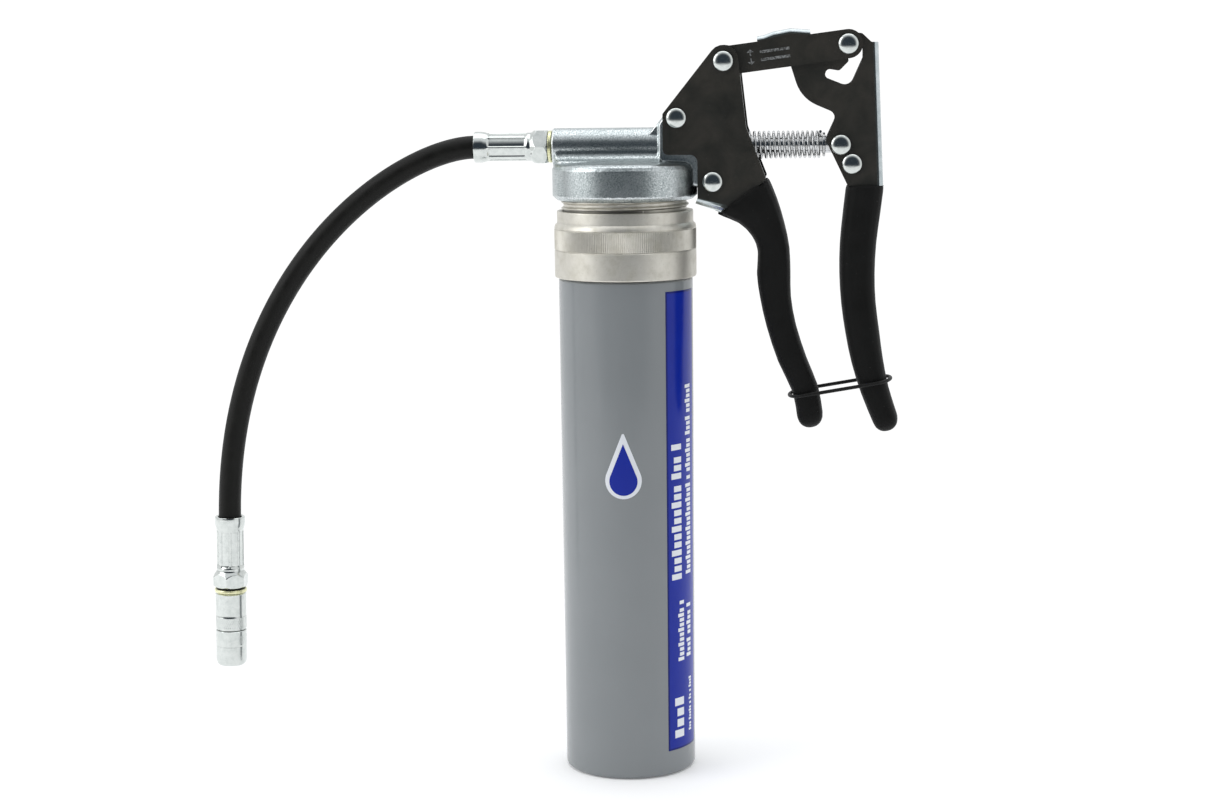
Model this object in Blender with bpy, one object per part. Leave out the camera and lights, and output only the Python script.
"""One-hand lever grease gun with a screw-on cartridge and a flexible discharge hose.

Units are metres. The origin is the centre of the cartridge's base, +Z runs up the cartridge,
+X points to the hand lever and -X to the outlet, and the gun is symmetric about the XZ plane.
"""

import math

import bmesh
import bpy
from mathutils import Matrix, Vector

MM = 0.001
GAP = 0.3 * MM

# Driving dimensions
CARTRIDGE_RADIUS = 31.5 * MM
CARTRIDGE_TAPER = 0.43 * MM
CARTRIDGE_HEIGHT = 235.0 * MM
CARTRIDGE_WALL = 1.2 * MM
NECK_RADIUS = 28.2 * MM
NECK_TOP = 256.0 * MM
PUMP_AXIS_Z = 295.5 * MM
PUMP_RADIUS = 4.0 * MM
BARREL_RADIUS = 8.5 * MM

# Facets around round pieces, from the largest to the smallest
ROUND_FINE = 48
ROUND_MEDIUM = 36
ROUND_SMALL = 24
ROUND_COARSE = 18
FILLET_STEPS = 7
LINK_END_STEPS = 18

# Adapter collar between cartridge and head
COLLAR_RADIUS = 33.25 * MM
COLLAR_BOTTOM = 234.9 * MM
COLLAR_TOP = 266.0 * MM
COLLAR_THREAD_RADIUS = 29.8 * MM
COLLAR_THREAD_TOP = 281.5 * MM

# Head casting
SKIRT_RADIUS = 33.8 * MM
SKIRT_BOTTOM = 270.8 * MM
SKIRT_TOP = 288.0 * MM
SKIRT_CEILING = 284.0 * MM
OUTLET_FACE_X = -33.4 * MM
GLAND_FACE_X = 40.0 * MM

# Linkage points (x, z) in the XZ plane
LINK_PIVOT = (46.6 * MM, 334.0 * MM)
SLOT_PIN = (103.4 * MM, 341.1 * MM)
PLUNGER_PIN = (100.1 * MM, PUMP_AXIS_Z)
HEAD_RIVET_UPPER = (25.0 * MM, 308.5 * MM)
HEAD_RIVET_LOWER = (41.5 * MM, 279.2 * MM)
LEVER_RIVET = (105.2 * MM, 286.7 * MM)

# Sheet-metal layers, measured outwards from the XZ plane
LEVER_INNER_Y = 6.0 * MM
LEVER_OUTER_Y = 8.0 * MM
LINK_INNER_Y = 8.4 * MM
LINK_OUTER_Y = 10.2 * MM
HANDLE_INNER_Y = 10.7 * MM
HANDLE_OUTER_Y = 12.7 * MM
SHEET = 2.0 * MM

# Crown of the link's thumb bridge, from the lever's side to the handle's side, in millimetres:
# distance from the pivot along the link, and height above the line through its two pins.
THUMB_BRIDGE = [(40.7, 8.7), (38.4, 9.2), (32.0, 10.5), (24.1, 10.1), (19.8, 9.1), (16.4, 8.9)]

# Pins and rivets
SHANK_RADIUS = 2.85 * MM
HOLE_RADIUS = 3.15 * MM
RIVET_HEAD_RADIUS = 4.7 * MM
RIVET_HEAD_HEIGHT = 1.9 * MM

# Rubber grips: wall over the handle's tang, and the tang's clearance
GRIP_WALL = 2.4 * MM
TANG_BEVEL = 3.2 * MM
TANG_OPEN_INSET = 5.0 * MM

# Discharge line
HOSE_RADIUS = 5.5 * MM
HOSE_BORE = 3.0 * MM
HEX_ACROSS_FLATS = 15.0 * MM
HOSE_START = (-70.2 * MM, 295.5 * MM)
HOSE_START_PULL = (-104.5 * MM, 295.5 * MM)
HOSE_END_PULL = (-190.7 * MM, 241.5 * MM)
HOSE_END = (-193.7 * MM, 119.0 * MM)
HOSE_INSERTION = 23.2 * MM
HOSE_SIDES = 14
COUPLER_LEAN = math.radians(1.4)
COUPLER_RADIUS = 7.45 * MM

# Return spring
SPRING_RADIUS = 5.85 * MM
SPRING_WIRE = 0.65 * MM
SPRING_LEFT_X = 42.6 * MM
SPRING_RIGHT_X = 91.4 * MM
SPRING_COILS = 22

# Transport ring
RING_WIRE = 0.85 * MM


def clear_scene():
    for old in list(bpy.data.objects):
        bpy.data.objects.remove(old, do_unlink=True)


def material(name, colour, roughness, metallic):
    found = bpy.data.materials.get(name)
    if found:
        return found
    made = bpy.data.materials.new(name)
    made.use_nodes = True
    shader = made.node_tree.nodes["Principled BSDF"]
    shader.inputs["Base Color"].default_value = (*colour, 1.0)
    shader.inputs["Roughness"].default_value = roughness
    shader.inputs["Metallic"].default_value = metallic
    return made


def cast_zinc():
    return material("cast_zinc", (0.36, 0.38, 0.40), 0.35, 1.0)


def nickel():
    return material("nickel", (0.62, 0.60, 0.55), 0.25, 1.0)


def bright_zinc():
    return material("bright_zinc", (0.75, 0.76, 0.76), 0.2, 1.0)


def spring_steel():
    return material("spring_steel", (0.45, 0.45, 0.46), 0.3, 1.0)


def hardened_steel():
    return material("hardened_steel", (0.5, 0.5, 0.52), 0.15, 1.0)


def black_paint():
    return material("black_paint", (0.02, 0.02, 0.018), 0.25, 0.0)


def grip_vinyl():
    return material("grip_vinyl", (0.012, 0.012, 0.012), 0.55, 0.0)


def hose_rubber():
    return material("hose_rubber", (0.018, 0.018, 0.018), 0.6, 0.0)


def black_rubber():
    return material("black_rubber", (0.02, 0.02, 0.02), 0.7, 0.0)


def cartridge_plastic():
    return material("cartridge_plastic", (0.23, 0.25, 0.26), 0.35, 0.0)


def follower_plastic():
    return material("follower_plastic", (0.75, 0.75, 0.72), 0.4, 0.0)


def seal_bronze():
    return material("seal_bronze", (0.66, 0.62, 0.33), 0.45, 0.0)


# Shape helpers -------------------------------------------------------------------------------


def add_object(name, mesh_builder, surface, origin=(0.0, 0.0, 0.0), parent=None):
    """Turns a bmesh built in world (or parent) coordinates into an object whose origin is given."""
    bmesh.ops.recalc_face_normals(mesh_builder, faces=mesh_builder.faces)
    bmesh.ops.translate(mesh_builder, verts=mesh_builder.verts, vec=-Vector(origin))
    mesh = bpy.data.meshes.new(name)
    mesh_builder.to_mesh(mesh)
    mesh_builder.free()
    mesh.shade_smooth()
    mesh.set_sharp_from_angle(angle=math.radians(32))
    made = bpy.data.objects.new(name, mesh)
    bpy.context.scene.collection.objects.link(made)
    made.location = origin
    made.parent = parent
    if surface:
        mesh.materials.append(surface)
    return made


def combine(target, mesh_builder, operation, solver):
    """Cuts from, or joins to, the target a helper solid that isn't part of the model itself."""
    helper = add_object(f"{target.name}_helper", mesh_builder, None, parent=target.parent)
    helper.hide_render = True
    helper.display_type = "WIRE"
    boolean = target.modifiers.new(operation.lower(), "BOOLEAN")
    boolean.object = helper
    boolean.operation = operation
    boolean.solver = solver


def cut(target, mesh_builder, solver="EXACT"):
    combine(target, mesh_builder, "DIFFERENCE", solver)


def join(target, mesh_builder, solver="EXACT"):
    combine(target, mesh_builder, "UNION", solver)


def weld_cut_edges():
    """Merges the vertices that booleans leave closer together than any real edge is long."""
    for obj in bpy.data.objects:
        if any(modifier.type == "BOOLEAN" for modifier in obj.modifiers):
            weld = obj.modifiers.new("weld", "WELD")
            weld.merge_threshold = 0.01 * MM


def strip_of_rings(rings, closed_along=False, pole_start=None, pole_end=None):
    """Skins rings of points. An open strip ends in a flat cap, or in a point where a pole is given."""
    builder = bmesh.new()
    made = [[builder.verts.new(point) for point in ring] for ring in rings]
    count = len(rings[0])
    spans = len(made) if closed_along else len(made) - 1
    for i in range(spans):
        first = made[i]
        second = made[(i + 1) % len(made)]
        for k in range(count):
            n = (k + 1) % count
            builder.faces.new((first[k], first[n], second[n], second[k]))
    if not closed_along:
        for ring, pole in ((made[0], pole_start), (made[-1], pole_end)):
            if pole is None:
                builder.faces.new(ring)
                continue
            tip = builder.verts.new(pole)
            for k in range(count):
                builder.faces.new((ring[k], ring[(k + 1) % count], tip))
    return builder


def lathe(profile, matrix=None, segments=ROUND_SMALL):
    """Turns a closed (radius, height) outline about local Z. Every radius is above zero or on the axis."""
    matrix = matrix or Matrix.Identity(4)
    builder = bmesh.new()
    rings = []
    for radius, height in profile:
        if radius < 1e-9:
            rings.append([builder.verts.new(matrix @ Vector((0.0, 0.0, height)))])
            continue
        ring = []
        for k in range(segments):
            angle = 2 * math.pi * (k + 0.5) / segments
            point = Vector((radius * math.cos(angle), radius * math.sin(angle), height))
            ring.append(builder.verts.new(matrix @ point))
        rings.append(ring)
    for i, first in enumerate(rings):
        second = rings[(i + 1) % len(rings)]
        if len(first) == 1 and len(second) == 1:
            continue
        for k in range(segments):
            n = (k + 1) % segments
            if len(first) == 1:
                builder.faces.new((first[0], second[n], second[k]))
            elif len(second) == 1:
                builder.faces.new((first[k], first[n], second[0]))
            else:
                builder.faces.new((first[k], first[n], second[n], second[k]))
    return builder


def rod(radius, low, high, matrix=None, segments=ROUND_COARSE):
    return lathe([(0.0, low), (radius, low), (radius, high), (0.0, high)], matrix, segments)


def washer(inner, outer, low, high, matrix=None, segments=ROUND_SMALL):
    return lathe([(inner, low), (outer, low), (outer, high), (inner, high)], matrix, segments)


def along_x(z, x=0.0):
    """Local Z becomes world X, through the height z."""
    return Matrix.Translation((x, 0.0, z)) @ Matrix.Rotation(math.pi / 2, 4, "Y")


def along_y(point):
    """Local Z becomes world Y, through an (x, z) point of the XZ plane."""
    return Matrix.Translation((point[0], 0.0, point[1])) @ Matrix.Rotation(-math.pi / 2, 4, "X")


def rounded(corners, steps=FILLET_STEPS):
    """An outline through (x, z, fillet radius) corners, with each fillet as a short arc."""
    outline = []
    count = len(corners)
    for i, (x, z, radius) in enumerate(corners):
        corner = Vector((x, z))
        if radius <= 0:
            outline.append(corner)
            continue
        before = (Vector(corners[i - 1][:2]) - corner).normalized()
        after = (Vector(corners[(i + 1) % count][:2]) - corner).normalized()
        half = before.angle(after) / 2
        reach = radius / math.tan(half)
        centre = corner + (before + after).normalized() * radius / math.sin(half)
        start = corner + before * reach - centre
        sweep = start.angle_signed(corner + after * reach - centre)
        for k in range(steps + 1):
            turned = start.copy()
            turned.rotate(Matrix.Rotation(-sweep * k / steps, 2))
            outline.append(centre + turned)
    return outline


def in_mm(corners):
    return [(x * MM, z * MM, radius * MM) for x, z, radius in corners]


def prism(outline, low_y, high_y):
    """Extrudes an (x, z) outline along Y."""
    rings = [[(x, y, z) for x, z in outline] for y in (low_y, high_y)]
    return strip_of_rings(rings)


def rounded_channel(outline, half_width, bend_edge, bend_radius):
    """A prism whose long edges near bend_edge, a (start, end) pair of (x, z) points, are rounded."""
    builder = prism(outline, -half_width, half_width)
    start, end = bend_edge
    axis = (end - start).normalized()
    bent = []
    for edge in builder.edges:
        a, b = (vert.co for vert in edge.verts)
        if abs(a.y - b.y) > GAP:
            continue
        near = True
        for point in (a, b):
            flat = Vector((point.x, point.z)) - start
            reach = flat.dot(axis)
            off_line = (flat - axis * reach).length
            near = near and off_line < GAP and -GAP < reach < (end - start).length + GAP
        if near:
            bent.append(edge)
    bmesh.ops.bevel(
        builder, geom=bent, offset=bend_radius, segments=4, profile=0.5, affect="EDGES"
    )
    return builder


def coil(radius, wire, start, end, coils, matrix, steps=12, sides=5, dead_turns=0.75):
    """A compression spring along local Z, with close turns at both ends."""
    total = coils * steps
    dead = dead_turns * steps
    dead_rise = dead_turns * 2 * wire * 1.15
    rings = []
    for i in range(total + 1):
        if i <= dead:
            height = start + wire + dead_rise * i / dead
        elif i >= total - dead:
            height = end - wire - dead_rise * (total - i) / dead
        else:
            low = start + wire + dead_rise
            high = end - wire - dead_rise
            height = low + (high - low) * (i - dead) / (total - 2 * dead)
        angle = 2 * math.pi * i / steps
        outward = Vector((math.cos(angle), math.sin(angle), 0.0))
        ring = []
        for k in range(sides):
            around = 2 * math.pi * k / sides
            offset = outward * (radius + wire * math.cos(around))
            ring.append(matrix @ (offset + Vector((0.0, 0.0, height + wire * math.sin(around)))))
        rings.append(ring)
    return strip_of_rings(rings)


def bezier(p0, p1, p2, p3, t):
    s = 1 - t
    return p0 * s**3 + p1 * 3 * s * s * t + p2 * 3 * s * t * t + p3 * t**3


def smooth_between(values, t):
    """A Catmull-Rom spline through equally spaced tuples, at t from 0 to len(values) - 1."""
    last = len(values) - 1
    i = min(int(t), last - 1)
    f = t - i
    picked = [values[max(0, min(last, i + k))] for k in (-1, 0, 1, 2)]
    result = []
    for a, b, c, d in zip(*picked):
        result.append(
            0.5 * (2 * b + (c - a) * f + (2 * a - 5 * b + 4 * c - d) * f**2 + (3 * b - a - 3 * c + d) * f**3)
        )
    return result


# Grips and tangs -----------------------------------------------------------------------------

# Each station is (left x, left z, right x, right z, half depth along Y), from the top to the tip.
FIXED_GRIP_STATIONS = [
    (43.4, 263.5, 66.9, 280.0, 14.9),
    (53.0, 259.8, 70.6, 270.8, 14.5),
    (59.3, 253.6, 74.0, 259.5, 13.2),
    (62.0, 246.2, 76.3, 248.0, 11.8),
    (61.5, 236.0, 76.8, 236.0, 10.8),
    (62.9, 225.0, 77.0, 225.0, 10.3),
    (66.0, 211.0, 79.4, 211.5, 10.0),
    (71.2, 195.0, 84.4, 196.0, 9.9),
    (78.0, 180.4, 89.6, 183.0, 9.8),
    (80.2, 168.3, 91.8, 170.7, 9.4),
]
LEVER_GRIP_STATIONS = [
    (102.6, 275.8, 119.7, 275.8, 10.4),
    (101.2, 264.0, 118.2, 264.0, 10.4),
    (99.9, 250.0, 116.4, 250.0, 10.3),
    (99.7, 236.0, 115.7, 236.0, 10.2),
    (100.6, 222.0, 116.2, 222.5, 10.1),
    (102.6, 208.0, 118.0, 208.5, 10.0),
    (105.5, 194.0, 119.7, 196.0, 9.9),
    (110.0, 179.5, 122.4, 182.5, 9.8),
    (115.4, 166.2, 126.6, 169.2, 9.2),
]
GRIP_FINENESS = 2
GRIP_SQUARENESS = 3.0


def station_frames(stations, extra=GRIP_FINENESS):
    """Smoothed stations as (left point, right point, half depth), in metres."""
    frames = []
    last = len(stations) - 1
    for i in range(last * extra + 1):
        lx, lz, rx, rz, depth = (value * MM for value in smooth_between(stations, i / extra))
        frames.append((Vector((lx, 0.0, lz)), Vector((rx, 0.0, rz)), depth))
    return frames


def grip_ring(left, right, depth, scale=1.0, shift=None, count=16):
    middle = (left + right) / 2 + (shift or Vector((0.0, 0.0, 0.0)))
    side = (right - left) / 2
    ring = []
    for k in range(count):
        angle = 2 * math.pi * k / count
        u = math.copysign(abs(math.cos(angle)) ** (2 / GRIP_SQUARENESS), math.cos(angle))
        v = math.copysign(abs(math.sin(angle)) ** (2 / GRIP_SQUARENESS), math.sin(angle))
        ring.append(middle + side * u * scale + Vector((0.0, depth * v * scale, 0.0)))
    return ring


def grip_shell(stations):
    """The outside of a grip: a lofted sleeve with a rounded tip."""
    frames = station_frames(stations)
    rings = [grip_ring(*frame) for frame in frames]
    left, right, depth = frames[-1]
    side = (right - left) / 2
    outward = Vector((side.z, 0.0, -side.x))
    for degrees in (25, 45, 63, 78):
        angle = math.radians(degrees)
        rings.append(grip_ring(left, right, depth, math.cos(angle), outward * math.sin(angle)))
    tip = (left + right) / 2 + outward
    return strip_of_rings(rings, pole_end=tip)


def tang_rings(stations, first, last, insets, closed_side):
    """U-shaped tang sections between two smoothed stations, their corners turned on the closed side.

    The insets are measured inwards from the grip's left side, right side and flanks."""
    left_inset, right_inset, depth_inset = insets
    rings = []
    for left, right, depth in station_frames(stations)[first:last]:
        along = (right - left).normalized()
        a = left + along * left_inset
        b = right - along * right_inset
        slope = along * TANG_BEVEL
        high = Vector((0.0, depth - depth_inset, 0.0))
        low = high - Vector((0.0, TANG_BEVEL, 0.0))
        if closed_side == "left":
            rings.append([a + slope - high, b - high, b + high, a + slope + high, a + low, a - low])
        else:
            rings.append([a - high, b - slope - high, b - low, b + low, b - slope + high, a + high])
    return rings


def extended(rings, distance):
    """Adds a section before the first one, so that a tang or a pocket starts beyond the grip's end."""
    step = (rings[0][0] - rings[1][0]).normalized() * distance
    return [[point + step for point in rings[0]]] + rings


# Cartridge group -------------------------------------------------------------------------------


def cartridge_radius(z):
    return CARTRIDGE_RADIUS - CARTRIDGE_TAPER * (1 - z / CARTRIDGE_HEIGHT)


def make_cartridge_tube():
    """Thin plastic tube with a closed base, a shoulder and a screw neck."""
    floor = 1.6 * MM
    corner = 2.0 * MM
    shoulder = CARTRIDGE_HEIGHT - CARTRIDGE_WALL
    bottom = cartridge_radius(0.0)
    neck_bore = NECK_RADIUS - 2.0 * MM
    profile = [
        (0.0, 0.0),
        (bottom - corner, 0.0),
        (bottom - 0.3 * corner, 0.3 * corner),
        (bottom, corner),
        (cartridge_radius(CARTRIDGE_HEIGHT), CARTRIDGE_HEIGHT - 1.0 * MM),
        (CARTRIDGE_RADIUS - 1.0 * MM, CARTRIDGE_HEIGHT - 0.4 * MM),
        (NECK_RADIUS, CARTRIDGE_HEIGHT - 0.4 * MM),
        (NECK_RADIUS, NECK_TOP),
        (neck_bore, NECK_TOP),
        (neck_bore, shoulder),
        (CARTRIDGE_RADIUS - CARTRIDGE_WALL, shoulder),
        (bottom - CARTRIDGE_WALL, floor + 1.0 * MM),
        (bottom - CARTRIDGE_WALL - 1.0 * MM, floor),
        (0.0, floor),
    ]
    tube = add_object("cartridge_tube", lathe(profile, segments=ROUND_FINE), cartridge_plastic())
    vent_radius = 1.5 * MM
    vent_offset = 14.0 * MM
    for side in (-1, 1):
        place = Matrix.Translation((side * vent_offset, 0.0, 0.0))
        cut(tube, rod(vent_radius, -1.0 * MM, 3.0 * MM, place, 12))


def make_follower_piston():
    """Cup-shaped disc that closes the grease off from the vented base and rises as it is used."""
    wall = CARTRIDGE_RADIUS - CARTRIDGE_TAPER - CARTRIDGE_WALL - GAP
    low = 3.2 * MM
    high = 19.0 * MM
    disc = 12.0 * MM
    sheet = 1.6 * MM
    profile = [
        (0.0, disc),
        (wall - 4.5 * MM, disc),
        (wall - 2.2 * MM, low),
        (wall - 0.7 * MM, low),
        (wall - 0.7 * MM, 8.0 * MM),
        (wall, 17.0 * MM),
        (wall, high),
        (wall - 1.0 * MM, high),
        (wall - 2.6 * MM, disc + sheet),
        (0.0, disc + sheet + 1.0 * MM),
    ]
    add_object("follower_piston", lathe(profile, segments=ROUND_MEDIUM), follower_plastic())


def make_cartridge_adapter():
    """Knurled collar: a socket for the cartridge's neck below, and a thread for the head above."""
    web_low = 257.6 * MM
    web_high = 260.4 * MM
    socket = NECK_RADIUS + GAP
    passage = 20.0 * MM
    thread_bore = 26.0 * MM
    step_radius = 31.9 * MM
    relief = 28.6 * MM
    profile = [
        (socket, COLLAR_BOTTOM),
        (COLLAR_RADIUS - 0.8 * MM, COLLAR_BOTTOM),
        (COLLAR_RADIUS, COLLAR_BOTTOM + 0.8 * MM),
        (COLLAR_RADIUS, 258.0 * MM),
        (step_radius + 0.3 * MM, 260.3 * MM),
        (step_radius, 260.3 * MM),
        (step_radius, COLLAR_TOP - 0.4 * MM),
        (step_radius - 0.4 * MM, COLLAR_TOP),
        (relief, COLLAR_TOP),
        (relief, COLLAR_TOP + 1.2 * MM),
        (COLLAR_THREAD_RADIUS, COLLAR_TOP + 2.2 * MM),
        (COLLAR_THREAD_RADIUS, COLLAR_THREAD_TOP - 1.0 * MM),
        (COLLAR_THREAD_RADIUS - 1.0 * MM, COLLAR_THREAD_TOP),
        (thread_bore, COLLAR_THREAD_TOP),
        (thread_bore, web_high),
        (passage, web_high),
        (passage, web_low),
        (socket, web_low),
    ]
    add_object("cartridge_adapter", lathe(profile, segments=ROUND_FINE), nickel())


def make_gaskets():
    neck_gasket = washer(21.0 * MM, NECK_RADIUS - GAP, NECK_TOP + GAP, 257.3 * MM, segments=ROUND_MEDIUM)
    add_object("cartridge_gasket", neck_gasket, black_rubber())
    head_gasket = washer(
        22.0 * MM,
        COLLAR_THREAD_RADIUS - GAP,
        COLLAR_THREAD_TOP + GAP,
        SKIRT_CEILING - GAP,
        segments=ROUND_MEDIUM,
    )
    add_object("adapter_gasket", head_gasket, black_rubber())


# Head group ------------------------------------------------------------------------------------


def make_head_casting():
    """Die-cast head: threaded skirt, horizontal pump barrel, and an ear for the fixed handle."""
    skirt = [
        (0.0, SKIRT_BOTTOM),
        (SKIRT_RADIUS - 2.4 * MM, SKIRT_BOTTOM),
        (SKIRT_RADIUS, SKIRT_BOTTOM + 2.2 * MM),
        (SKIRT_RADIUS, SKIRT_TOP - 3.0 * MM),
        (SKIRT_RADIUS - 0.9 * MM, SKIRT_TOP - 0.9 * MM),
        (SKIRT_RADIUS - 3.0 * MM, SKIRT_TOP),
        (0.0, SKIRT_TOP + 1.6 * MM),
    ]
    head = add_object("head_casting", lathe(skirt, segments=ROUND_FINE), cast_zinc())
    join(head, rod(BARREL_RADIUS, OUTLET_FACE_X, GLAND_FACE_X, along_x(PUMP_AXIS_Z), 40))
    barrel_foot = in_mm([(-31.6, 285.5, 0), (-31.6, 294.0, 0), (20.0, 294.0, 0), (20.0, 285.5, 0)])
    join(head, prism(rounded(barrel_foot), -7.6 * MM, 7.6 * MM))
    ear = in_mm(
        [
            (16.8, 286.0, 0),
            (16.8, 305.6, 1.0),
            (22.6, 313.8, 3.0),
            (30.5, 313.8, 5.0),
            (36.5, 304.6, 2.0),
            (39.6, 303.0, 1.0),
            (39.6, 288.2, 1.0),
            (47.2, 285.6, 4.0),
            (48.0, 275.6, 4.0),
            (38.0, 275.6, 3.0),
            (31.6, 278.0, 0),
            (31.6, 286.0, 0),
        ]
    )
    ear_half_width = HANDLE_INNER_Y - GAP
    join(head, prism(rounded(ear), -ear_half_width, ear_half_width))
    gusset = in_mm([(9.5, 298.0, 0), (20.5, 311.7, 0.6), (20.5, 298.0, 0)])
    join(head, prism(rounded(gusset), -6.7 * MM, 6.7 * MM))
    cut_head_bores(head)


def cut_head_bores(head):
    pump = along_x(PUMP_AXIS_Z)
    thread_bore = COLLAR_THREAD_RADIUS + GAP
    bore = PUMP_RADIUS + 0.1 * MM
    valve_chamber = 4.9 * MM
    seat_hole = 2.0 * MM
    seal_groove = 6.2 * MM
    cut(head, rod(thread_bore, SKIRT_BOTTOM - 5.0 * MM, SKIRT_CEILING, None, ROUND_FINE))
    bores = [
        (0.0, OUTLET_FACE_X - 2.0 * MM),
        (valve_chamber, OUTLET_FACE_X - 2.0 * MM),
        (valve_chamber, -15.0 * MM),
        (seat_hole, -15.0 * MM),
        (seat_hole, -12.2 * MM),
        (bore, -12.2 * MM),
        (bore, 32.6 * MM),
        (seal_groove, 32.6 * MM),
        (seal_groove, 35.4 * MM),
        (bore, 35.4 * MM),
        (bore, GLAND_FACE_X + 2.0 * MM),
        (0.0, GLAND_FACE_X + 2.0 * MM),
    ]
    inlet = Matrix.Translation((5.0 * MM, 0.0, 0.0))
    inlet_top = PUMP_AXIS_Z - 1.3 * MM
    cut(head, rod(2.5 * MM, SKIRT_CEILING - 1.0 * MM, inlet_top, inlet, 16), "MANIFOLD")
    cut(head, lathe(bores, pump, ROUND_SMALL), "MANIFOLD")
    for point in (HEAD_RIVET_UPPER, HEAD_RIVET_LOWER):
        cut(head, rod(HOLE_RADIUS, -14.0 * MM, 14.0 * MM, along_y(point)), "MANIFOLD")


def rivet(name, point, half_span, origin_point):
    """A pin with a domed head on both sides, along Y through an (x, z) point."""
    head_low = half_span + GAP
    head_high = head_low + RIVET_HEAD_HEIGHT
    dome = RIVET_HEAD_RADIUS - 0.9 * MM
    profile = [
        (0.0, -head_high),
        (dome, -head_high),
        (RIVET_HEAD_RADIUS, -head_high + 0.9 * MM),
        (RIVET_HEAD_RADIUS, -head_low),
        (SHANK_RADIUS, -head_low),
        (SHANK_RADIUS, head_low),
        (RIVET_HEAD_RADIUS, head_low),
        (RIVET_HEAD_RADIUS, head_high - 0.9 * MM),
        (dome, head_high),
        (0.0, head_high),
    ]
    origin = (origin_point[0], 0.0, origin_point[1])
    add_object(name, lathe(profile, along_y(point), ROUND_COARSE), bright_zinc(), origin)


def make_fixed_handle():
    """Steel channel: two cheeks and a web below, narrowing to a tang inside the grip."""
    sole_start = (33.4, 269.0)
    sole_end = (45.0, 265.2)
    cheeks = in_mm(
        [
            (18.7, 310.4, 1.0),
            (18.7, 291.6, 2.6),
            (34.6, 291.6, 3.4),
            (34.6, 272.0, 0),
            (*sole_start, 0),
            (*sole_end, 0),
            (65.0, 279.2, 0),
            (65.8, 281.4, 0),
            (57.0, 303.8, 8.0),
            (51.6, 351.6, 6.8),
        ]
    )
    sole = [Vector(point) * MM for point in (sole_start, sole_end)]
    outside = rounded_channel(rounded(cheeks), HANDLE_OUTER_Y, sole, 4.2 * MM)
    handle = add_object("fixed_handle", outside, black_paint())
    tang = tang_rings(FIXED_GRIP_STATIONS, 0, 15, (GRIP_WALL, TANG_OPEN_INSET, GRIP_WALL), "left")
    join(handle, strip_of_rings(extended(tang, 3.0 * MM)))
    between = in_mm(
        [
            (15.0, 360.0, 0),
            (15.0, 276.8, 0),
            (33.0, 276.8, 0),
            (36.2, 270.2, 2.0),
            (49.8, 264.8, 0),
            (72.0, 276.0, 0),
            (80.0, 290.0, 0),
            (80.0, 360.0, 0),
        ]
    )
    cut(handle, prism(rounded(between), -HANDLE_INNER_Y, HANDLE_INNER_Y))
    web = GRIP_WALL + SHEET
    hollow = tang_rings(FIXED_GRIP_STATIONS, 0, 17, (web, -6.0 * MM, web), "left")
    cut(handle, strip_of_rings(extended(hollow, 4.0 * MM)), "MANIFOLD")
    for point in (HEAD_RIVET_UPPER, HEAD_RIVET_LOWER, LINK_PIVOT):
        cut(handle, rod(HOLE_RADIUS, -14.0 * MM, 14.0 * MM, along_y(point)), "MANIFOLD")


def make_fixed_grip():
    grip = add_object("fixed_grip", grip_shell(FIXED_GRIP_STATIONS), grip_vinyl())
    clearance = GRIP_WALL - GAP
    insets = (clearance, TANG_OPEN_INSET - GAP, clearance)
    pocket = tang_rings(FIXED_GRIP_STATIONS, 0, 16, insets, "left")
    cut(grip, strip_of_rings(extended(pocket, 6.0 * MM)))


def make_pump_seals():
    pump = along_x(PUMP_AXIS_Z)
    seal = washer(PUMP_RADIUS + 0.15 * MM, 5.9 * MM, 32.9 * MM, 35.1 * MM, pump, ROUND_COARSE)
    add_object("piston_seal", seal, black_rubber())
    low = GLAND_FACE_X + GAP
    seat = washer(4.4 * MM, 7.2 * MM, low, low + 1.6 * MM, pump, ROUND_SMALL)
    add_object("spring_seat_washer", seat, bright_zinc())


def make_return_spring():
    place = along_x(PUMP_AXIS_Z)
    spring = coil(
        SPRING_RADIUS, SPRING_WIRE, SPRING_LEFT_X, SPRING_RIGHT_X, SPRING_COILS, place, 11, 4, 0.9
    )
    add_object("return_spring", spring, spring_steel())


# Outlet valve and discharge line ------------------------------------------------------------------


def make_outlet_valve():
    pump = along_x(PUMP_AXIS_Z)
    ball_x = -18.4 * MM
    ball_radius = 3.2 * MM
    ball = bmesh.new()
    bmesh.ops.create_uvsphere(ball, u_segments=16, v_segments=10, radius=ball_radius)
    bmesh.ops.transform(ball, matrix=pump @ Matrix.Translation((0, 0, ball_x)), verts=ball.verts)
    add_object("outlet_ball", ball, hardened_steel(), (ball_x, 0.0, PUMP_AXIS_Z))
    spring = coil(2.4 * MM, 0.35 * MM, -26.5 * MM, -21.9 * MM, 5, pump, 10, 4)
    add_object("outlet_spring", spring, spring_steel())


def hex_prism(low, high, matrix, across=HEX_ACROSS_FLATS):
    """A hexagon whose corners point along local +Y and -Y, with its corners turned off."""
    corner = across / math.sqrt(3)
    chamfer = 0.9 * MM
    rings = []
    for height, inset in (
        (low, chamfer),
        (low + chamfer, 0.0),
        (high - chamfer, 0.0),
        (high, chamfer),
    ):
        ring = []
        for k in range(6):
            angle = math.pi / 3 * k + math.pi / 2
            radius = corner - inset
            ring.append(matrix @ Vector((radius * math.cos(angle), radius * math.sin(angle), height)))
        rings.append(ring)
    return strip_of_rings(rings)


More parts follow.
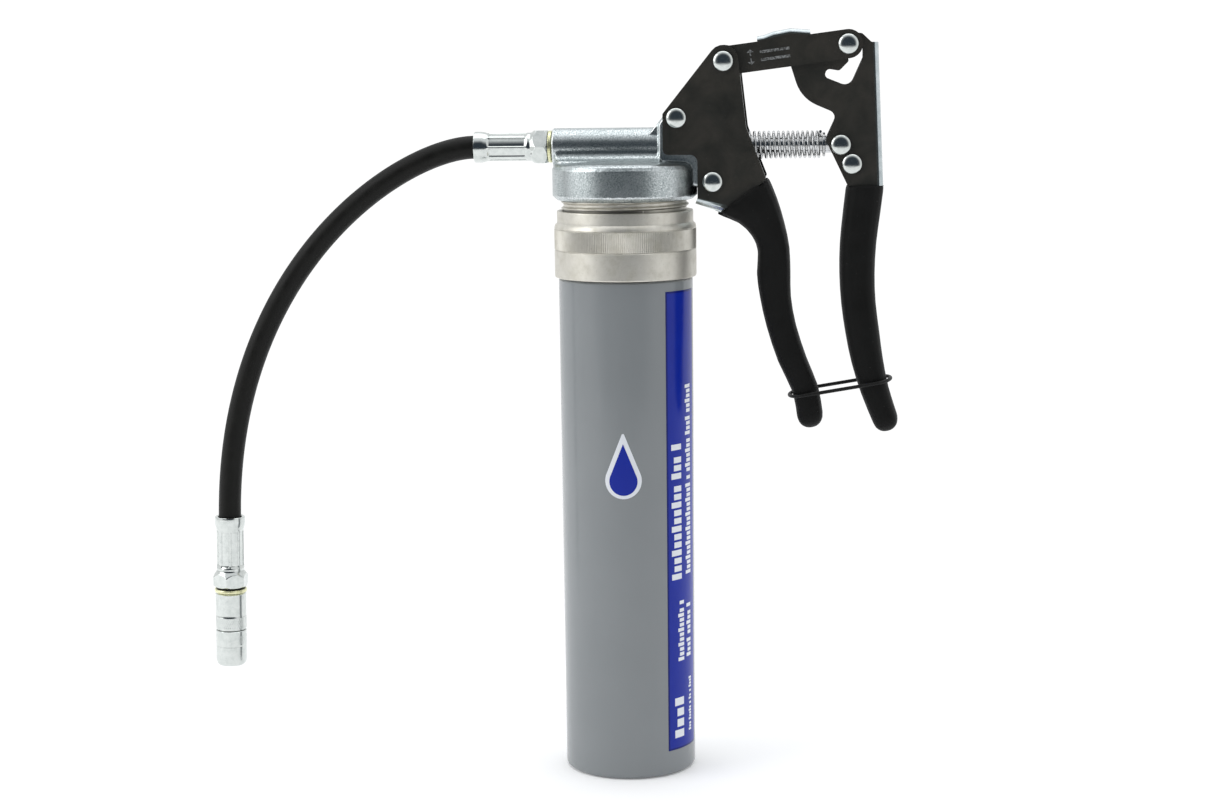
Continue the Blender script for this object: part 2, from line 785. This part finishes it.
def hose_fitting(name, matrix, parent=None):
    """Crimped hose end along local Z: thread stub at negative heights, then hexagon, ferrule and flare.

    Height 0 is the hexagon's seat, and the flare's mouth is at the far end."""
    stub_radius = 4.6 * MM
    passage = 1.6 * MM
    tail = HOSE_BORE - GAP
    socket = HOSE_RADIUS + GAP
    hex_top = 7.2 * MM
    crimp_start = 10.0 * MM
    crimp_end = 29.0 * MM
    mouth = 34.6 * MM
    tail_end = 27.0 * MM
    profile = [
        (0.0, -8.8 * MM),
        (stub_radius - 0.6 * MM, -8.8 * MM),
        (stub_radius, -8.2 * MM),
        (stub_radius, 1.0 * MM),
        (6.6 * MM, 1.0 * MM),
        (6.75 * MM, crimp_start),
        (6.35 * MM, crimp_start + 1.5 * MM),
        (6.35 * MM, crimp_end - 1.0 * MM),
        (6.9 * MM, crimp_end + 1.2 * MM),
        (6.9 * MM, mouth - 0.5 * MM),
        (6.6 * MM, mouth),
        (socket, mouth),
        (socket, crimp_start + 1.0 * MM),
        (tail, crimp_start + 1.0 * MM),
        (tail, tail_end),
        (0.0, tail_end),
    ]
    fitting = add_object(name, lathe(profile, matrix, ROUND_SMALL), bright_zinc(), parent=parent)
    join(fitting, hex_prism(0.0, hex_top, matrix), "MANIFOLD")
    cut(fitting, rod(passage, -10.0 * MM, tail_end + 1.0 * MM, matrix, 16), "MANIFOLD")


def make_gun_fitting():
    seat = Matrix.Translation((-35.6 * MM, 0.0, PUMP_AXIS_Z)) @ Matrix.Rotation(-math.pi / 2, 4, "Y")
    hose_fitting("hose_fitting_gun", seat)
    outlet_washer = washer(4.9 * MM, 7.5 * MM, 0.2 * MM, 1.9 * MM, seat, ROUND_SMALL)
    bmesh.ops.translate(outlet_washer, verts=outlet_washer.verts, vec=(2.1 * MM, 0.0, 0.0))
    add_object("outlet_seal_washer", outlet_washer, seal_bronze())


def hose_line(steps):
    """(point, heading) pairs along the hose's centre line, reaching inside both ferrules."""
    points = [Vector((x, 0.0, z)) for x, z in (HOSE_START, HOSE_START_PULL, HOSE_END_PULL, HOSE_END)]
    start_heading = Vector((-1.0, 0.0, 0.0))
    end_heading = Vector((-math.sin(COUPLER_LEAN), 0.0, -math.cos(COUPLER_LEAN)))
    line = [(points[0] - start_heading * HOSE_INSERTION, start_heading)]
    for i in range(steps + 1):
        t = i / steps
        here = bezier(*points, t)
        ahead = bezier(*points, min(1.0, t + 0.01))
        behind = bezier(*points, max(0.0, t - 0.01))
        line.append((here, (ahead - behind).normalized()))
    line.append((points[3] + end_heading * HOSE_INSERTION, end_heading))
    return line


def make_hose():
    """Thick-walled hose along its centre line, open at both ends."""
    line = hose_line(16)
    outer = []
    inner = []
    for point, heading in line:
        side = Vector((heading.z, 0.0, -heading.x))
        across = Vector((0.0, 1.0, 0.0))
        for radius, rings in ((HOSE_RADIUS, outer), (HOSE_BORE, inner)):
            ring = []
            for k in range(HOSE_SIDES):
                angle = 2 * math.pi * k / HOSE_SIDES
                ring.append(point + side * radius * math.cos(angle) + across * radius * math.sin(angle))
            rings.append(ring)
    hose = strip_of_rings(outer + inner[::-1], closed_along=True)
    add_object("hose", hose, hose_rubber())


def coupler_frame():
    """An empty at the hose's lower end. Its local +Z runs down the coupler."""
    frame = bpy.data.objects.new("coupler_frame", None)
    bpy.context.scene.collection.objects.link(frame)
    frame.location = (HOSE_END[0], 0.0, HOSE_END[1])
    frame.rotation_euler = (0.0, math.pi + COUPLER_LEAN, 0.0)
    return frame


def make_coupler(frame):
    """Four-jaw coupler on the hose's end, built along the frame's +Z from the ferrule's mouth."""
    mouth = 34.6 * MM
    seat = Matrix.Translation((0.0, 0.0, mouth)) @ Matrix.Rotation(math.pi, 4, "X")
    hose_fitting("hose_fitting_coupler", seat, frame)
    ring = washer(4.9 * MM, 7.9 * MM, 34.9 * MM, 37.3 * MM, None, ROUND_SMALL)
    add_object("coupler_seal_ring", ring, seal_bronze(), parent=frame)
    body_start = 37.6 * MM
    body = [
        (5.0 * MM, body_start),
        (COUPLER_RADIUS - 0.5 * MM, body_start),
        (COUPLER_RADIUS, body_start + 0.5 * MM),
        (COUPLER_RADIUS, 55.8 * MM),
        (5.9 * MM, 55.8 * MM),
        (5.9 * MM, 61.0 * MM),
        (4.7 * MM, 61.0 * MM),
        (4.7 * MM, 50.0 * MM),
        (1.6 * MM, 50.0 * MM),
        (1.6 * MM, 45.0 * MM),
        (5.0 * MM, 45.0 * MM),
    ]
    add_object("coupler_body", lathe(body, None, ROUND_SMALL), bright_zinc(), parent=frame)
    spring = coil(3.6 * MM, 0.45 * MM, 50.3 * MM, 57.9 * MM, 5, Matrix.Identity(4), 10, 4)
    add_object("coupler_spring", spring, spring_steel(), parent=frame)
    seal = washer(1.4 * MM, 4.3 * MM, 58.2 * MM, 62.6 * MM, None, ROUND_COARSE)
    add_object("coupler_seal", seal, black_rubber(), parent=frame)
    make_coupler_sleeve(frame)
    for k in range(4):
        make_coupler_jaw(frame, k)


def make_coupler_sleeve(frame):
    nose = 73.3 * MM
    sleeve = [
        (6.2 * MM, 56.1 * MM),
        (7.3 * MM, 56.1 * MM),
        (7.5 * MM, 56.5 * MM),
        (7.5 * MM, 71.2 * MM),
        (6.9 * MM, 72.9 * MM),
        (6.3 * MM, nose),
        (4.7 * MM, nose),
        (4.7 * MM, 72.6 * MM),
        (6.2 * MM, 63.0 * MM),
    ]
    add_object("coupler_sleeve", lathe(sleeve, None, ROUND_SMALL), bright_zinc(), parent=frame)


def make_coupler_jaw(frame, index):
    """One quarter of the jaw set: a tapered segment with an inward lip at the nose."""
    half_gap = math.radians(5.0)
    start = math.pi / 2 * index + half_gap
    sweep = math.pi / 2 - 2 * half_gap
    steps = 5
    section = [
        (3.5 * MM, 63.0 * MM),
        (5.7 * MM, 63.0 * MM),
        (5.7 * MM, 64.0 * MM),
        (4.35 * MM, 72.6 * MM),
        (2.7 * MM, 72.6 * MM),
        (2.7 * MM, 71.2 * MM),
        (3.5 * MM, 69.8 * MM),
    ]
    rings = []
    for k in range(steps + 1):
        angle = start + sweep * k / steps
        rings.append([(r * math.cos(angle), r * math.sin(angle), height) for r, height in section])
    add_object(f"coupler_jaw_{index + 1}", strip_of_rings(rings), hardened_steel(), parent=frame)


# Piston, lever and link -----------------------------------------------------------------------------


def make_pump_piston():
    """Hardened rod with a collar for the spring and a flat eye for the plunger pin."""
    pump = along_x(PUMP_AXIS_Z)
    tip = -6.8 * MM
    collar_low = SPRING_RIGHT_X + GAP
    collar_high = collar_low + 1.2 * MM
    collar_radius = LEVER_INNER_Y - GAP
    eye_x, eye_z = PLUNGER_PIN
    profile = [
        (0.0, tip),
        (PUMP_RADIUS - 0.4 * MM, tip),
        (PUMP_RADIUS, tip + 0.4 * MM),
        (PUMP_RADIUS, collar_low),
        (collar_radius, collar_low),
        (collar_radius, collar_high),
        (PUMP_RADIUS, collar_high),
        (PUMP_RADIUS, 97.0 * MM),
        (0.0, 97.0 * MM),
    ]
    origin = (eye_x, 0.0, eye_z)
    piston = add_object("pump_piston", lathe(profile, pump, ROUND_SMALL), hardened_steel(), origin)
    join(piston, rod(5.4 * MM, -5.6 * MM, 5.6 * MM, along_y(PLUNGER_PIN), ROUND_COARSE))
    cut(piston, rod(HOLE_RADIUS, -8.0 * MM, 8.0 * MM, along_y(PLUNGER_PIN), ROUND_COARSE))


def make_lever():
    """Steel channel open towards the head: cam edge for the plunger, J-shaped slot and a tang."""
    back_top = (117.0, 341.8)
    back_bottom = (119.5, 276.6)
    sheet = in_mm(
        [
            (103.3, 276.6, 0),
            (94.9, 294.0, 2.0),
            (93.0, 298.0, 1.6),
            (98.3, 309.6, 3.4),
            (82.0, 316.6, 17.0),
            (75.6, 336.5, 3.2),
            (99.8, 346.9, 5.0),
            (109.6, 345.8, 2.0),
            (113.8, 341.8, 1.0),
            (*back_top, 0),
            (*back_bottom, 0),
        ]
    )
    origin = (PLUNGER_PIN[0], 0.0, PLUNGER_PIN[1])
    back = [Vector(point) * MM for point in (back_top, back_bottom)]
    outside = rounded_channel(rounded(sheet), LEVER_OUTER_Y, back, 3.2 * MM)
    lever = add_object("lever", outside, black_paint(), origin)
    tang = tang_rings(LEVER_GRIP_STATIONS, 0, 13, (TANG_OPEN_INSET, GRIP_WALL, GRIP_WALL), "right")
    join(lever, strip_of_rings(extended(tang, 3.0 * MM)))
    between = in_mm(
        [
            (60.0, 280.0, 0),
            (60.0, 360.0, 0),
            (114.2, 360.0, 0),
            (114.9, 341.0, 0),
            (117.2, 280.0, 0),
            (115.3, 280.0, 0),
            (115.3, 272.0, 0),
            (95.0, 272.0, 0),
        ]
    )
    cut(lever, prism(rounded(between), -LEVER_INNER_Y, LEVER_INNER_Y))
    web = GRIP_WALL + SHEET
    hollow = tang_rings(LEVER_GRIP_STATIONS, 0, 15, (-6.0 * MM, web, web), "right")
    cut(lever, strip_of_rings(extended(hollow, 4.0 * MM)), "MANIFOLD")
    cut(lever, prism(slot_outline(), -12.0 * MM, 12.0 * MM), "MANIFOLD")
    for point in (PLUNGER_PIN, LEVER_RIVET):
        cut(lever, rod(HOLE_RADIUS, -12.0 * MM, 12.0 * MM, along_y(point)), "MANIFOLD")


def slot_outline():
    """J-shaped slot: the pin's high seat, a passage that leans away from the head, and the low seat."""
    return rounded(
        in_mm(
            [
                (99.5, 345.3, 3.2),
                (106.9, 345.3, 3.2),
                (109.9, 339.5, 2.0),
                (109.9, 334.9, 2.0),
                (103.9, 321.6, 4.0),
                (92.4, 326.2, 2.0),
                (93.6, 330.0, 2.0),
                (99.3, 329.0, 1.6),
                (103.8, 333.5, 1.2),
                (99.5, 340.4, 0),
            ]
        )
    )


def make_lever_grip():
    origin = (PLUNGER_PIN[0], 0.0, PLUNGER_PIN[1])
    grip = add_object("lever_grip", grip_shell(LEVER_GRIP_STATIONS), grip_vinyl(), origin)
    clearance = GRIP_WALL - GAP
    insets = (TANG_OPEN_INSET - GAP, clearance, clearance)
    pocket = tang_rings(LEVER_GRIP_STATIONS, 0, 14, insets, "right")
    cut(grip, strip_of_rings(extended(pocket, 6.0 * MM)))


def make_link():
    """Twin-plate link from the fixed handle to the lever, joined by a bridge under the thumb."""
    start = Vector(LINK_PIVOT)
    reach = Vector(SLOT_PIN) - start
    length = reach.length
    turn = Matrix.Rotation(math.atan2(reach.y, reach.x), 2)
    half = 6.6 * MM
    outline = []
    for k in range(LINK_END_STEPS + 1):
        angle = math.pi / 2 + math.pi * k / LINK_END_STEPS
        outline.append(Vector((half * math.cos(angle), half * math.sin(angle))))
    for k in range(LINK_END_STEPS + 1):
        angle = -math.pi / 2 + math.pi * k / LINK_END_STEPS
        outline.append(Vector((length + half * math.cos(angle), half * math.sin(angle))))
    bridge = [Vector(point) * MM for point in THUMB_BRIDGE]
    outline += [Vector((bridge[0].x, half))] + bridge + [Vector((bridge[-1].x, half))]
    placed = [start + turn @ point for point in outline]
    origin = (start.x, 0.0, start.y)
    link = add_object("link", prism(placed, -LINK_OUTER_Y, LINK_OUTER_Y), black_paint(), origin)
    skin = Vector((0.0, 1.8 * MM))
    beyond = Vector((0.4 * MM, 0.0))
    under = [point - skin for point in bridge]
    under[0] += beyond
    under[-1] -= beyond
    gap_outline = [
        Vector((-2 * half, -3 * half)),
        Vector((length + 3 * half, -3 * half)),
        Vector((length + 3 * half, 3 * half)),
        Vector((under[0].x, 3 * half)),
    ]
    gap_outline += under
    gap_outline += [Vector((under[-1].x, 3 * half)), Vector((-2 * half, 3 * half))]
    placed_gap = [start + turn @ point for point in gap_outline]
    cut(link, prism(placed_gap, -LINK_INNER_Y, LINK_INNER_Y))
    for point in (LINK_PIVOT, SLOT_PIN):
        cut(link, rod(HOLE_RADIUS, -12.0 * MM, 12.0 * MM, along_y(point)))


def make_transport_ring():
    """Rubber ring stretched round both grips. It holds the lever half closed."""
    left = Vector((75.6 * MM, 0.0, 178.7 * MM))
    right = Vector((124.3 * MM, 0.0, 187.0 * MM))
    half_depth = 11.4 * MM
    corner = 6.5 * MM
    heading = (right - left).normalized()
    middle = (left + right) / 2
    reach = (right - left).length / 2 - RING_WIRE
    path = []
    for side in (1, -1):
        for k in range(9):
            angle = math.pi * (k / 8 - 0.5)
            u = side * (reach - corner + corner * math.cos(angle))
            v = side * half_depth * math.sin(angle)
            path.append((u, v))
    rings = []
    upright = heading.cross(Vector((0.0, 1.0, 0.0)))
    count = len(path)
    for i, (u, v) in enumerate(path):
        ahead = Vector(path[(i + 1) % count]) - Vector(path[i - 1])
        outward = heading * ahead.y - Vector((0.0, 1.0, 0.0)) * ahead.x
        outward.normalize()
        centre = middle + heading * u + Vector((0.0, v, 0.0))
        ring = []
        for k in range(8):
            angle = 2 * math.pi * k / 8
            ring.append(centre + (outward * math.cos(angle) + upright * math.sin(angle)) * RING_WIRE)
        rings.append(ring)
    add_object("transport_ring", strip_of_rings(rings, closed_along=True), black_rubber())


def main():
    clear_scene()
    make_cartridge_tube()
    make_follower_piston()
    make_cartridge_adapter()
    make_gaskets()
    make_head_casting()
    make_fixed_handle()
    make_fixed_grip()
    rivet("head_rivet_upper", HEAD_RIVET_UPPER, HANDLE_OUTER_Y, HEAD_RIVET_UPPER)
    rivet("head_rivet_lower", HEAD_RIVET_LOWER, HANDLE_OUTER_Y, HEAD_RIVET_LOWER)
    rivet("link_pivot_pin", LINK_PIVOT, HANDLE_OUTER_Y, LINK_PIVOT)
    make_pump_seals()
    make_return_spring()
    make_outlet_valve()
    make_gun_fitting()
    make_hose()
    make_coupler(coupler_frame())
    make_pump_piston()
    make_lever()
    make_lever_grip()
    rivet("plunger_pin", PLUNGER_PIN, LEVER_OUTER_Y, PLUNGER_PIN)
    rivet("lever_rivet", LEVER_RIVET, LEVER_OUTER_Y, PLUNGER_PIN)
    make_link()
    rivet("link_slot_pin", SLOT_PIN, LINK_OUTER_Y, LINK_PIVOT)
    make_transport_ring()
    weld_cut_edges()
    bpy.context.view_layer.update()


main()
